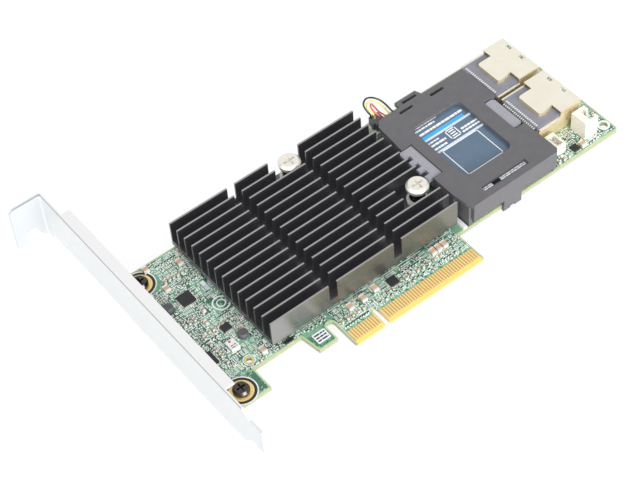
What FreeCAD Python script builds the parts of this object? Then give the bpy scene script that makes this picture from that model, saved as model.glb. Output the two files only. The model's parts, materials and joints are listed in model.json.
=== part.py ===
import FreeCAD, Part
import math
import os

# Storage controller card, low-profile board on a full-height slot bracket. All lengths in mm.
# Frame: X runs from the slot bracket (-X) to the cable connectors (+X), X = 0 at the key notch;
# Y runs from the card-edge contacts (Y = 0) to the top edge; Z = 0 is the solder side, +Z up.

V = FreeCAD.Vector

# Board
T = 1.57
BOARD_X0, BOARD_X1 = -57.15, 110.50
BOARD_TOP = 68.90
MAIN_Y = 12.86                      # lower edge of the main area behind the contacts
FOOT_X1, FOOT_Y = -42.40, 4.40      # foot that carries the lower bracket screw
WEB_Y = 13.40
TAB_X0, TAB_X1, TAB_Y = -23.90, -15.60, 5.60
EDGE_X0, EDGE_X1 = -12.60, 39.60    # contact edge
KEY_W, KEY_TOP = 1.90, 7.60
BEVEL, BEVEL_DROP = 1.30, 0.45
CORNER_HOLE = (BOARD_X1 - 2.60, MAIN_Y + 4.14, 1.35)     # x, y, radius
PLATED_HOLE = (-41.50, 16.90, 1.00)

# Card-edge contacts
PITCH, PAD_W, PAD_T = 1.00, 0.70, 0.05
PAD_Y0, PAD_Y1 = 1.60, 5.80

# Slot bracket
SHEET = 0.86
BR_X0 = -59.05
BR_X1 = BR_X0 + SHEET
BR_TOP, BR_TIP = 105.70, -14.32
BR_Z1 = 15.52
SEAT_LEN, SEAT_Z0 = 11.43, -2.90
FLANGE_W, FLANGE_Y0, FLANGE_Y1 = 4.10, 4.30, 93.20
SCREW_X, SCREW_YS = -50.20, (9.20, 63.20)

# Heatsink
HS_X0, HS_X1, HS_Y0, HS_Y1 = -33.60, 41.20, 14.90, 68.30
HS_Z0, HS_BASE, HS_TOP = 4.00, 2.10, 14.40
FINS, FIN_W = 14, 0.62
FIN_PITCH = (HS_Y1 - HS_Y0 - FIN_W) / (FINS - 1)
CUTS = ((-11.00, -7.80), (14.90, 18.10))
CUT_Z = 7.20
SPRING_SCREWS = ((11.90, 64.60), (36.80, 29.50))
CHIP_X, CHIP_Y, CHIP = 24.35, 47.05, 29.0

# Cable connectors: housing at the rear, open sheet cage at the front
SAS_YS = (54.50, 34.00)
SAS_LEN, SAS_HW, SAS_HZ = 10.10, 17.20, 9.00
SAS_DEPTH, SAS_CW, SAS_CZ = 8.90, SAS_HW + 1.20, SAS_HZ + 1.50
SAS_CX1 = BOARD_X1 - 6.30
SAS_HX1 = SAS_CX1 - SAS_DEPTH
SAS_HX0 = SAS_HX1 - SAS_LEN
SAS_WALL, SAS_CROWN = 0.35, 6.00
TONGUE_Z, TONGUE_T = 4.60, 1.30

# White headers at the rear corner: x0, y0, x1, y1, top
LARGE_HEADER = (SAS_CX1 - 5.80, MAIN_Y + 3.24, SAS_CX1 - 0.20, MAIN_Y + 10.14, 9.20)
SMALL_HEADER = (SAS_HX0 + 1.30, MAIN_Y + 3.94, SAS_HX0 + 5.10, MAIN_Y + 10.34, 5.60)
PIN = 0.50

# Battery carrier, tray and pack
CAR_GAP = 2.30                      # from the heatsink to the carrier, and on to the connectors
CAR_X0, CAR_X1 = HS_X1 + CAR_GAP, SAS_HX0 - CAR_GAP
CAR_Y0, CAR_Y1, CAR_Z = 11.70, 60.70, 12.00
CAR_SKIN, CAR_WALL = 1.50, 1.20
WIN = (CAR_X0 + 8.30, CAR_Y0 + 11.20, CAR_X1 - 10.70, CAR_Y1 - 10.00)
PACK = (CAR_X0 + 5.10, CAR_Y0 + 6.90, CAR_X1 - 6.30, CAR_Y1 - 3.70)
PACK_TOP = CAR_Z - CAR_SKIN - 0.25
FILM_T = 0.12
TRAY_Z, TRAY_T, TRAY_LIP = 2.70, 1.10, 0.70
DATA_WALL, DATA_TOP = 2.40, 9.30    # the tray's wall that carries the slim label
LATCH_Y0, LATCH_LEN, LATCH_DROP = 29.90, 15.30, 0.50
LATCH_Y1 = LATCH_Y0 + LATCH_LEN

# x0, y0, x1, y1 of the battery plug
PLUG = (CAR_X0 + 2.80, CAR_Y1 + 0.80, CAR_X0 + 6.80, CAR_Y1 + 5.40)
PLUG_TOP = 9.20
WIRE_R = 0.32


def box(x0, y0, z0, x1, y1, z1):
    return Part.makeBox(x1 - x0, y1 - y0, z1 - z0, V(x0, y0, z0))


def cyl(x, y, z0, z1, r):
    return Part.makeCylinder(r, z1 - z0, V(x, y, z0))


def prism_z(points, z0, z1):
    wire = Part.makePolygon([V(x, y, z0) for x, y in points + points[:1]])
    return Part.Face(wire).extrude(V(0, 0, z1 - z0))


def prism_x(points, x0, x1):
    wire = Part.makePolygon([V(x0, y, z) for y, z in points + points[:1]])
    return Part.Face(wire).extrude(V(x1 - x0, 0, 0))


def prism_y(points, y0, y1):
    wire = Part.makePolygon([V(x, y0, z) for x, z in points + points[:1]])
    return Part.Face(wire).extrude(V(0, y1 - y0, 0))


def union(shapes):
    return shapes[0].multiFuse(shapes[1:]).removeSplitter() if len(shapes) > 1 else shapes[0]


def group(shapes):
    return Part.makeCompound(shapes)


def round_edges(shape, radius, keep):
    edges = [e for e in shape.Edges if keep(e)]
    return shape.makeFillet(radius, edges)


def upright(edge):
    a, b = edge.Vertexes[0].Point, edge.Vertexes[-1].Point
    return abs(a.x - b.x) < 1e-6 and abs(a.y - b.y) < 1e-6 and abs(a.z - b.z) > 1e-3


def pcb():
    half = KEY_W / 2
    c = 0.5
    outline = [
        (BOARD_X0, FOOT_Y), (FOOT_X1, FOOT_Y), (FOOT_X1, WEB_Y), (TAB_X0, WEB_Y),
        (TAB_X0 + 1.2, TAB_Y), (TAB_X1, TAB_Y), (TAB_X1, WEB_Y), (EDGE_X0, WEB_Y),
        (EDGE_X0, c), (EDGE_X0 + c, 0), (-half - c, 0), (-half, c),
        (-half, KEY_TOP - half), (half, KEY_TOP - half), (half, c), (half + c, 0),
        (EDGE_X1 - c, 0), (EDGE_X1, c), (EDGE_X1, MAIN_Y), (BOARD_X1 - 0.6, MAIN_Y),
        (BOARD_X1, MAIN_Y + 0.6), (BOARD_X1, BOARD_TOP), (BOARD_X0, BOARD_TOP),
    ]
    body = prism_z(outline, 0, T)
    slot_r = (EDGE_X0 - TAB_X1) / 2
    body = body.fuse(box(TAB_X1, 12.40 - slot_r, 0, EDGE_X0, WEB_Y, T))
    cuts = [
        cyl(TAB_X1 + slot_r, 12.40 - slot_r, -1, T + 1, slot_r),
        cyl(0, KEY_TOP - half, -1, T + 1, half),
    ]
    cuts += [cyl(x, y, -1, T + 1, r) for x, y, r in (CORNER_HOLE, PLATED_HOLE)]
    cuts += [cyl(SCREW_X, y, -1, T + 1, 1.60) for y in SCREW_YS]
    cuts += [cyl(x, y, -1, T + 1, 1.60) for x, y in SPRING_SCREWS]
    for y in SAS_YS:
        for side in (y - SAS_CW / 2, y + SAS_CW / 2 - SAS_WALL):
            cuts.append(box(SAS_HX1 + 1.05, side - 0.15, -1,
                            SAS_HX1 + 2.55, side + SAS_WALL + 0.15, T + 1))
    for z, s in ((T, 1), (0, -1)):
        wedge = [(-1, z + s), (-1, z - s * BEVEL_DROP * (1 + 1 / BEVEL)), (BEVEL, z), (BEVEL, z + s)]
        cuts.append(prism_x(wedge, EDGE_X0 - 1, EDGE_X1 + 1))
    return body.cut(Part.makeCompound(cuts)).removeSplitter()


def pin_x(pin):
    return EDGE_X0 + 1.10 + (pin - 1) * PITCH + (2.0 if pin > 11 else 0)


def edge_contacts():
    pads = []
    for z in (T, -PAD_T):
        for pin in range(1, 50):
            x = pin_x(pin)
            pads.append(box(x - PAD_W / 2, PAD_Y0, z, x + PAD_W / 2, PAD_Y1, z + PAD_T))
    return group(pads)


def bracket():
    face = [
        (BR_TIP, 3.40), (BR_TIP + 0.4, 3.05), (-8.00, 3.05), (-4.20, -1.30), (57.20, -1.30),
        (58.60, -SHEET), (100.60, -SHEET), (101.80, SEAT_Z0), (BR_TOP, SEAT_Z0),
        (BR_TOP, BR_Z1), (-4.40, BR_Z1), (-8.00, 13.24), (BR_TIP + 0.4, 13.24), (BR_TIP, 12.90),
    ]
    plate = prism_x(face, BR_X0, BR_X1)
    seat_x0 = BR_X0 - SEAT_LEN
    seat = box(seat_x0, BR_TOP - SHEET, SEAT_Z0, BR_X1, BR_TOP, BR_Z1)
    notch_x, notch_z, notch_r = BR_X0 - 5.30, 0.10, 2.45
    notch = Part.makeCylinder(notch_r, 4, V(notch_x, BR_TOP - 3, notch_z), V(0, 1, 0))
    mouth = [(notch_x - notch_r, notch_z), (notch_x + notch_r, notch_z),
             (notch_x + notch_r + 0.6, SEAT_Z0 + 1.2), (notch_x + notch_r + 2.4, SEAT_Z0 - 1),
             (notch_x - notch_r, SEAT_Z0 - 1)]
    notch = notch.fuse(prism_y(mouth, BR_TOP - 3, BR_TOP + 1))
    corner = prism_y([(seat_x0 - 1, BR_Z1 + 1), (seat_x0 - 1, BR_Z1 - 1.4),
                      (seat_x0, BR_Z1 - 1.4), (seat_x0 + 1.4, BR_Z1), (seat_x0 + 1.4, BR_Z1 + 1)],
                     BR_TOP - 3, BR_TOP + 1)
    flange = box(BR_X0, FLANGE_Y0, BR_Z1 - SHEET, BR_X0 + FLANGE_W, FLANGE_Y1, BR_Z1)
    lugs = []
    for y in SCREW_YS:
        lug = prism_z([(BR_X0, y - 4.5), (SCREW_X + 2.6, y - 4.5), (SCREW_X + 4.7, y - 2.4),
                       (SCREW_X + 4.7, y + 2.4), (SCREW_X + 2.6, y + 4.5), (BR_X0, y + 4.5)],
                      -SHEET, 0)
        collar = cyl(SCREW_X, y, -1.80, -SHEET, 2.10)
        lugs.append(lug.fuse(collar))
    body = union([plate, seat, flange] + lugs)
    holes = [cyl(SCREW_X, y, -3, 1, 1.30) for y in SCREW_YS]
    body = body.cut(Part.makeCompound([notch, corner] + holes)).removeSplitter()

    def bends(edge):
        a, b = edge.Vertexes[0].Point, edge.Vertexes[-1].Point
        on_x = abs(a.x - BR_X0) < 1e-6 and abs(b.x - BR_X0) < 1e-6
        seat_bend = on_x and abs(a.y - (BR_TOP - SHEET)) < 1e-6 and abs(b.y - a.y) < 1e-6
        outer = abs(a.x - BR_X1) < 1e-6 and abs(b.x - a.x) < 1e-6 and \
            abs(a.y - BR_TOP) < 1e-6 and abs(b.y - a.y) < 1e-6
        return seat_bend or outer
    return round_edges(body, 0.8, bends)


def pan_screw(x, y, z, head_r, head_h, shank_r, length, recess=1.0):
    edge = 0.55 * head_h
    head = cyl(x, y, z, z + edge, head_r)
    head = head.fuse(Part.makeCone(head_r, 0.80 * head_r, head_h - edge, V(x, y, z + edge)))
    w = 0.22 * head_r
    cross = union([box(x - 0.56 * head_r, y - w / 2, z + head_h - recess,
                       x + 0.56 * head_r, y + w / 2, z + head_h + 1),
                   box(x - w / 2, y - 0.56 * head_r, z + head_h - recess,
                       x + w / 2, y + 0.56 * head_r, z + head_h + 1)])
    return head.cut(cross).fuse(cyl(x, y, z - length, z, shank_r)).removeSplitter()


def bracket_screws():
    return group([pan_screw(SCREW_X, y, T, 2.75, 1.9, 1.28, 3.2, 0.9) for y in SCREW_YS])


def heatsink():
    base = box(HS_X0, HS_Y0, HS_Z0, HS_X1, HS_Y1, HS_Z0 + HS_BASE)
    fins = []
    for i in range(FINS):
        y = HS_Y1 - FIN_W - i * FIN_PITCH
        fins.append(box(HS_X0, y, HS_Z0 + HS_BASE, HS_X1, y + FIN_W, HS_TOP))
    cuts = [box(x0, HS_Y0 - 1, CUT_Z, x1, HS_Y1 + 1, HS_TOP + 1) for x0, x1 in CUTS]
    (ax, ay), (bx, by) = SPRING_SCREWS
    floor = HS_Z0 + HS_BASE
    cuts.append(box(ax - 6.4, ay - 3.6, floor, ax + 6.2, HS_Y1 + 1, HS_TOP + 1))
    cuts.append(box(bx - 7.6, by - 4.6, floor, HS_X1 + 1, by + 4.6, HS_TOP + 1))
    cuts += [cyl(x, y, HS_Z0 - 1, floor + 1, 1.70) for x, y in SPRING_SCREWS]
    return union([base] + fins).cut(Part.makeCompound(cuts)).removeSplitter()


def spring(x, y, z0, z1, radius, wire_r, turns):
    # A coil spring at its fitted length: one crest of the profile is one turn of wire
    pitch, bore = (z1 - z0) / turns, radius - wire_r
    crests = []
    for k in range(turns):
        crests += [V(radius, 0, z0 + k * pitch), V(radius + wire_r, 0, z0 + (k + 0.5) * pitch)]
    profile = crests + [V(radius, 0, z1), V(bore, 0, z1), V(bore, 0, z0), crests[0]]
    coil = Part.Face(Part.makePolygon(profile)).revolve(V(0, 0, 0), V(0, 0, 1), 360)
    coil.translate(V(x, y, 0))
    return coil


def heatsink_washers():
    floor = HS_Z0 + HS_BASE
    return group([cyl(x, y, floor, floor + 1.2, 3.6).cut(cyl(x, y, floor - 1, floor + 2, 1.70))
                  for x, y in SPRING_SCREWS])


def heatsink_springs():
    z0 = HS_Z0 + HS_BASE + 1.2
    return group([spring(x, y, z0, 12.30, 2.35, 0.33, 4) for x, y in SPRING_SCREWS])


def heatsink_screws():
    return group([pan_screw(x, y, 12.30, 3.85, 2.0, 1.50, 15.0, 1.0) for x, y in SPRING_SCREWS])


def heatsink_nuts():
    nuts = []
    for x, y in SPRING_SCREWS:
        hexagon = [(x + 2.9 * math.cos(math.radians(60 * k)), y + 2.9 * math.sin(math.radians(60 * k)))
                   for k in range(6)]
        nuts.append(prism_z(hexagon, -1.80, 0).cut(cyl(x, y, -3, 1, 1.50)))
    return group(nuts)


def raid_processor():
    h = CHIP / 2
    substrate = box(CHIP_X - h, CHIP_Y - h, T, CHIP_X + h, CHIP_Y + h, T + 1.20)
    lid = box(CHIP_X - h + 3, CHIP_Y - h + 3, T + 1.20, CHIP_X + h - 3, CHIP_Y + h - 3, T + 2.20)
    return substrate.fuse(lid).removeSplitter()


def thermal_pad():
    h = CHIP / 2 - 3.5
    return box(CHIP_X - h, CHIP_Y - h, T + 2.20, CHIP_X + h, CHIP_Y + h, HS_Z0)


def battery_carrier():
    front_x = CAR_X1 - 0.80
    left, right = (LATCH_Y0 - 0.40, LATCH_Y1 + 0.40), (LATCH_Y0 - 1.70, LATCH_Y1 - 1.10)
    ear_x0, ear_x1, ear_y = CAR_X0 + 11.90, CAR_X0 + 20.70, CAR_Y1 + 2.70
    top = [
        (CAR_X0 + 2.00, CAR_Y0), (front_x - 0.90, CAR_Y0), (front_x, CAR_Y0 + 1.30),
        (front_x, right[0]), (front_x - 4.20, right[0]), (front_x - 4.20, right[1]),
        (CAR_X1, right[1]), (CAR_X1, CAR_Y1), (ear_x1 + 1.00, CAR_Y1), (ear_x1, ear_y),
        (ear_x0, ear_y), (ear_x0, CAR_Y1), (CAR_X0 + 3.10, CAR_Y1), (CAR_X0 + 0.90, CAR_Y1 - 2.30),
        (CAR_X0, left[1]), (CAR_X0 + 4.10, left[1]), (CAR_X0 + 4.10, left[0]), (CAR_X0, left[0]),
        (CAR_X0, CAR_Y0 + 7.80), (CAR_X0 + 0.90, CAR_Y0 + 2.50),
    ]
    roof = CAR_Z - CAR_SKIN
    plate = prism_z(top, roof, CAR_Z)
    low, high_low, hook_low = 2.40, 4.00, -0.85
    x_left = CAR_X0 + 0.90
    skirts = [
        box(CAR_X0 + 2.00, CAR_Y0, high_low + 0.50, front_x - 0.90, CAR_Y0 + CAR_WALL, roof),
        box(x_left, CAR_Y0 + 1.30, T, x_left + CAR_WALL, CAR_Y0 + 7.80, roof),
        box(CAR_X0, CAR_Y0 + 7.80, high_low, CAR_X0 + CAR_WALL, left[0], roof),
        box(CAR_X0 + 0.40, left[1] + 0.80, high_low, CAR_X0 + 0.40 + CAR_WALL, CAR_Y1 - 4.70, roof),
        box(front_x - CAR_WALL, CAR_Y0 + 1.30, T, front_x, CAR_Y0 + 6.30, roof),
        box(CAR_X0 + 5.00, CAR_Y1 - CAR_WALL, T, CAR_X1, CAR_Y1, roof),
        box(CAR_X1 - CAR_WALL, right[1], low, CAR_X1, CAR_Y1, roof),
    ]
    # Two snap hooks reach over the board's edge on one broad leg
    leg_x0, leg_x1, hook_w = CAR_X0 + 15.00, CAR_X0 + 22.50, 2.70
    hook = [(CAR_Y0, low), (CAR_Y0, hook_low + 0.5), (CAR_Y0 + 0.5, hook_low),
            (MAIN_Y + 1.04, -0.12), (MAIN_Y - 0.06, -0.12), (MAIN_Y - 0.06, low)]
    skirts += [prism_x(hook, leg_x0, leg_x0 + hook_w), prism_x(hook, leg_x1 - hook_w, leg_x1)]
    skirts.append(box(leg_x0, CAR_Y0, 0.30, leg_x1, MAIN_Y - 0.06, high_low + 1))
    body = union([plate] + skirts)
    x0, y0, x1, y1 = WIN
    cuts = [round_edges(box(x0, y0, roof - 1, x1, y1, CAR_Z + 1), 2.6, upright)]
    slots = [(ear_x0 + 1.90, CAR_Y1 + 0.40, 6.00, 1.30), (CAR_X0 + 10.20, CAR_Y1 - 2.70, 5.50, 1.20),
             (CAR_X0 + 23.20, CAR_Y1 - 3.10, 5.70, 1.30), (CAR_X0 + 9.00, CAR_Y0 + 2.40, 18.70, 2.50)]
    cuts += [box(x, y, roof - 1, x + lx, y + ly, CAR_Z + 1) for x, y, lx, ly in slots]
    return body.cut(Part.makeCompound(cuts)).removeSplitter()


def battery_tray():
    x0, y0, x1, y1 = PACK
    wall_y = y0 - DATA_WALL - 0.30
    floor_top = TRAY_Z + TRAY_T
    floor = box(x0 - TRAY_LIP, wall_y, TRAY_Z, x1 + TRAY_LIP, y1 + TRAY_LIP, floor_top)
    walls = [
        box(x0 - TRAY_LIP, y1 - 0.20, TRAY_Z, x1 + TRAY_LIP, y1 + TRAY_LIP, TRAY_Z + 3.20),
        box(x0 - TRAY_LIP, wall_y, TRAY_Z, x1 + TRAY_LIP, wall_y + DATA_WALL, DATA_TOP),
    ]
    feet = [box(x - 1.3, y - 1.3, T, x + 1.3, y + 1.3, TRAY_Z)
            for x in (x0 + 3, x1 - 3) for y in (y0 + 1.4, y1 - 4)]
    z1 = CAR_Z - LATCH_DROP
    web_x = x0 - 2.40
    left = box(CAR_X0 - 1.50, LATCH_Y0, z1 - 1.40, web_x + 1.20, LATCH_Y1, z1)
    bites = [box(CAR_X0 - 2.50, y - 1.10, z1 - 2, CAR_X0 + 0.70, y + 1.10, z1 + 1)
             for y in [LATCH_Y0 + 3.30 + 4.00 * k for k in range(3)]]
    left = left.cut(Part.makeCompound(bites))
    left_web = box(web_x, LATCH_Y0, TRAY_Z, web_x + 1.20, LATCH_Y1, z1)
    left_foot = box(web_x, LATCH_Y0, TRAY_Z, x0, LATCH_Y1, floor_top)
    near, far = LATCH_Y0 - 0.80, LATCH_Y1 - 1.60
    right = prism_z([(CAR_X1 - 4.70, near), (CAR_X1 - 1.90, near), (CAR_X1 - 1.00, near + 0.90),
                     (CAR_X1 - 1.00, far - 0.90), (CAR_X1 - 1.90, far), (CAR_X1 - 4.70, far)],
                    z1 - 1.20, z1)
    right_web = box(CAR_X1 - 4.70, near, TRAY_Z, CAR_X1 - 3.60, far, z1)
    right_foot = box(x1, near, TRAY_Z, CAR_X1 - 3.60, far, floor_top)
    return union([floor] + walls + feet + [left, left_web, left_foot, right, right_web, right_foot])


def battery_pack():
    x0, y0, x1, y1 = PACK
    body = box(x0 + 0.3, y0, TRAY_Z + TRAY_T, x1 - 0.3, y1 - 0.3, PACK_TOP)
    return round_edges(body, 1.2, upright)


def battery_label():
    x0, y0, x1, y1 = PACK
    return box(x0 + 1.6, y0 + 1.2, PACK_TOP, x1 - 1.6, y1 - 2.0, PACK_TOP + FILM_T)


def data_label():
    x0, y0, x1, _ = PACK
    wall_y = y0 - DATA_WALL - 0.30
    return box(x0 + 2.40, wall_y, DATA_TOP, x1 - 3.60, wall_y + DATA_WALL, DATA_TOP + FILM_T)


def battery_header():
    x0, y0, x1, y1 = PLUG
    body = box(x0 - 0.7, y0 - 0.7, T, x1 + 0.7, y1 + 0.7, T + 4.2)
    return body.cut(box(x0, y0, T + 1.0, x1, y1, T + 5))


def battery_plug():
    x0, y0, x1, y1 = PLUG
    body = box(x0, y0, T + 1.0, x1, y1, PLUG_TOP)
    key = box(x0 - 0.6, y0 + 1.2, T + 4.4, x0, y0 + 2.4, PLUG_TOP)
    return body.fuse(key).removeSplitter()


WIRE_ROUTES = {
    "battery_wire_black": [
        (46.70, 65.30, PLUG_TOP), (46.70, 65.30, 10.60), (45.70, 66.40, 12.80), (45.60, 68.00, 14.50),
        (47.90, 69.30, 14.90), (50.80, 69.30, 13.30), (53.00, 68.00, 11.60), (53.70, 65.80, 10.60),
        (53.60, 63.20, 10.20), (53.60, CAR_Y1, 10.20)],
    "battery_wire_yellow": [
        (47.60, 64.30, PLUG_TOP), (47.60, 64.30, 10.50), (46.40, 65.50, 12.60), (46.40, 67.20, 13.80),
        (48.00, 68.40, 13.80), (50.20, 68.10, 13.10), (51.80, 66.80, 11.80), (52.40, 64.90, 10.60),
        (52.50, 62.80, 9.80), (52.50, CAR_Y1, 9.80)],
    "battery_wire_red": [
        (48.80, 63.10, PLUG_TOP), (48.80, 63.10, 10.40), (47.60, 65.10, 12.10), (48.00, 67.10, 12.90),
        (49.70, 68.80, 11.60), (50.90, 68.80, 9.30), (51.20, 67.20, 8.20), (51.20, 65.10, 8.50),
        (51.20, 62.80, 9.30), (51.20, CAR_Y1, 9.30)],
}


def ring_section(radius, centre, normal, sides=6):
    turn = FreeCAD.Rotation(V(0, 0, 1), normal)
    corners = [centre + turn.multVec(V(radius * math.cos(a), radius * math.sin(a), 0))
               for a in [math.tau * (k % sides) / sides for k in range(sides + 1)]]
    return Part.makePolygon(corners)


def cord(name, points, radius):
    pts = [V(*p) for p in points]
    edges, radii, start = [], [], pts[0]
    for before, corner, after in zip(pts, pts[1:], pts[2:]):
        u, w = (before - corner).normalize(), (after - corner).normalize()
        reach = 0.45 * min(before.distanceToPoint(corner), corner.distanceToPoint(after))
        turn = math.pi - u.getAngle(w)
        arc_r = reach / math.tan(turn / 2)
        radii.append(round(arc_r, 2))
        a, b = corner + u * reach, corner + w * reach
        mid_dir = (u + w).normalize()
        centre = corner + mid_dir * math.hypot(arc_r, reach)
        middle = centre - mid_dir * arc_r
        edges += [Part.LineSegment(start, a).toShape(), Part.Arc(a, middle, b).toShape()]
        start = b
    edges.append(Part.LineSegment(start, pts[-1]).toShape())
    path = Part.Wire(edges)
    section = ring_section(radius, pts[0], pts[1] - pts[0])
    tube = path.makePipeShell([section], True, False)
    expected = Part.Face(section).Area * path.Length
    ratio = round(tube.Volume / expected, 4)
    print(name, "length", round(path.Length, 1), "radii", radii, "volume ratio", ratio)
    return tube


def sas_housing(y):
    w = SAS_HW / 2
    body = box(SAS_HX0, y - w, T, SAS_HX1, y + w, SAS_HZ)
    step = prism_y([(SAS_HX0 - 1, SAS_HZ + 1), (SAS_HX0 - 1, SAS_HZ - 0.4), (SAS_HX0, SAS_HZ - 0.4),
                    (SAS_HX0 + 0.4, SAS_HZ), (SAS_HX0 + 0.4, SAS_HZ + 1)], y - w - 1, y + w + 1)
    tongue = box(SAS_HX1, y - w + 1.2, TONGUE_Z, SAS_CX1 - 2.4, y + w - 1.2, TONGUE_Z + TONGUE_T)
    back = box(SAS_HX1, y - w + 0.4, T + SAS_WALL, SAS_HX1 + 1.6, y + w - 0.4, SAS_HZ - 0.2)
    return union([body.cut(step), back, tongue])


def sas_cage(y):
    w, t = SAS_CW / 2, SAS_WALL
    shell = box(SAS_HX1, y - w, T, SAS_CX1, y + w, SAS_CZ)
    room = box(SAS_HX1 - 1, y - w + t, T + t, SAS_CX1 + 1, y + w - t, SAS_CZ - t)
    x0, x1 = SAS_HX1 - SAS_CROWN, SAS_HX1 + 0.1
    v = w - 3.80
    crown = prism_z([(x0, y - v + 0.5), (x0, y + v - 0.5), (x0 + 0.9, y + v), (x1, y + v),
                     (x1, y - v + 0.8), (x0 + 2.3, y - v), (x0 + 0.9, y - v)], SAS_HZ, SAS_CZ)
    holes = [box(SAS_CX1 - 1.9, yy - 1.1, SAS_CZ - 1, SAS_CX1 - 0.9, yy + 1.1, SAS_CZ + 1)
             for yy in (y + w / 2, y - 0.22 * w)]
    side = [box(SAS_HX1 + 2.4, y - w - 1, TONGUE_Z, SAS_HX1 + 5.2, y + w + 1, TONGUE_Z + 1.4)]
    legs = [box(SAS_HX1 + 1.2, yy, -1.0, SAS_HX1 + 2.4, yy + t, T) for yy in (y - w, y + w - t)]
    # The side walls run back along the housing, each with its edge folded outwards
    wing_x, wing_z = SAS_HX0 + 0.4, SAS_HZ - 0.5
    wings = [box(wing_x, yy, T, SAS_HX1, yy + t, wing_z) for yy in (y - w, y + w - t)]
    lips = [box(wing_x, yy, wing_z - t, SAS_HX1, yy + 0.5, wing_z) for yy in (y - w - 0.5, y + w)]
    return union([shell.cut(Part.makeCompound([room] + holes + side)), crown] + legs + wings + lips)


def sas_contacts(y):
    leads = []
    foot, face, knee = SAS_HX0 - 1.10, SAS_HX0 - 0.75, SAS_HZ - 0.50
    profile = [(foot, T), (foot, T + 0.25), (face, T + 0.25), (face, knee), (SAS_HX0, knee),
               (SAS_HX0, knee - 0.25), (face + 0.25, knee - 0.25), (face + 0.25, T)]
    for k in range(18):
        yy = y + (k - 8.5) * 0.86
        leads.append(prism_y(profile, yy - 0.21, yy + 0.21))
    z = TONGUE_Z + TONGUE_T
    for k in range(18):
        yy = y + (k - 8.5) * 0.76
        leads.append(box(SAS_HX1 + 1.6, yy - 0.15, z, SAS_CX1 - 2.8, yy + 0.15, z + 0.08))
    return group(leads)


def header_pins(x, ys, z0, z1):
    return group([box(x - PIN / 2, y - PIN / 2, z0, x + PIN / 2, y + PIN / 2, z1) for y in ys])


def large_header():
    x0, y0, x1, y1, z1 = LARGE_HEADER
    body = box(x0, y0, T, x1, y1, z1)
    room = box(x0 + 2.6, y0 + 0.9, T + 2.2, x1 - 0.8, y1 - 0.9, z1 + 1)
    mouth = box(x1 - 1, y0 + 2.0, T + 4.6, x1 + 1, y1 - 2.0, z1 + 1)
    return body.cut(room.fuse(mouth))


def large_header_pins():
    x0, y0, x1, y1, z1 = LARGE_HEADER
    middle = (y0 + y1) / 2
    return header_pins(x0 + 3.45, (middle - 1.55, middle, middle + 1.55), T + 2.2, z1 - 1.0)


def small_header():
    x0, y0, x1, y1, z1 = SMALL_HEADER
    body = box(x0, y0, T, x1, y1, z1)
    return body.cut(box(x0 + 0.8, y0 + 0.8, T + 1.2, x1 - 0.8, y1 - 0.8, z1 + 1))


def small_header_pins():
    x0, y0, x1, y1, z1 = SMALL_HEADER
    middle = (y0 + y1) / 2
    return header_pins((x0 + x1) / 2, (middle - 2.0, middle, middle + 2.0), T + 1.2, z1 - 0.7)


def flat_chip(x0, y0, x1, y1, h):
    # Moulded package: the sides draft in above and below the parting line
    mid, draft = T + 0.45 * h, 0.12
    base = box(x0 + draft, y0 + draft, T, x1 - draft, y1 - draft, mid)
    lid = prism_z([(x0, y0), (x1, y0), (x1, y1), (x0, y1)], mid, T + h)
    return base.fuse(lid)


def small_chips():
    return group([flat_chip(9.60, 9.95, 13.00, 13.25, 0.85),
                  flat_chip(-41.30, 30.10, -38.10, 32.70, 0.85),
                  flat_chip(-29.50, 13.90, -26.30, 14.85, 0.80),
                  flat_chip(SAS_HX1 - 3.30, MAIN_Y + 1.34, SAS_HX1 - 0.70, MAIN_Y + 3.94, 0.85),
                  flat_chip(-52.60, 22.00, -49.00, 27.20, 0.95)])


def memory_chips():
    chips = []
    for k in range(5):
        x = -22.0 + 14.6 * k
        chips.append(box(x, 38.0, -1.15, x + 10.6, 51.0, 0))
    return group(chips)


def inductors():
    coils = []
    for x, y in ((-37.30, 25.60), (-49.30, 48.80)):
        shoulder = cyl(x, y, T, T + 1.5, 1.75)
        crown = Part.makeCone(1.75, 1.40, 0.4, V(x, y, T + 1.5))
        coils.append(shoulder.fuse(crown))
    return group(coils)


def oscillator():
    return box(-43.70, 22.40, T, -40.70, 26.40, T + 1.05)


def chip_at(x, y, lx, ly, h):
    return box(x - lx / 2, y - ly / 2, T, x + lx / 2, y + ly / 2, T + h)


def tan_capacitors():
    spots = ((-35.60, 62.10), (-45.10, 55.80), (-36.20, 16.80), (-5.40, 12.30),
             (-0.20, 12.30), (5.10, 13.10), (28.60, 12.40), (30.90, 12.40),
             (33.20, 12.40), (-45.80, 66.60), (-54.00, 55.60), (SAS_HX1 + 0.9, 15.00))
    return group([chip_at(x, y, 1.9, 2.6, 1.25) for x, y in spots])


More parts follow.
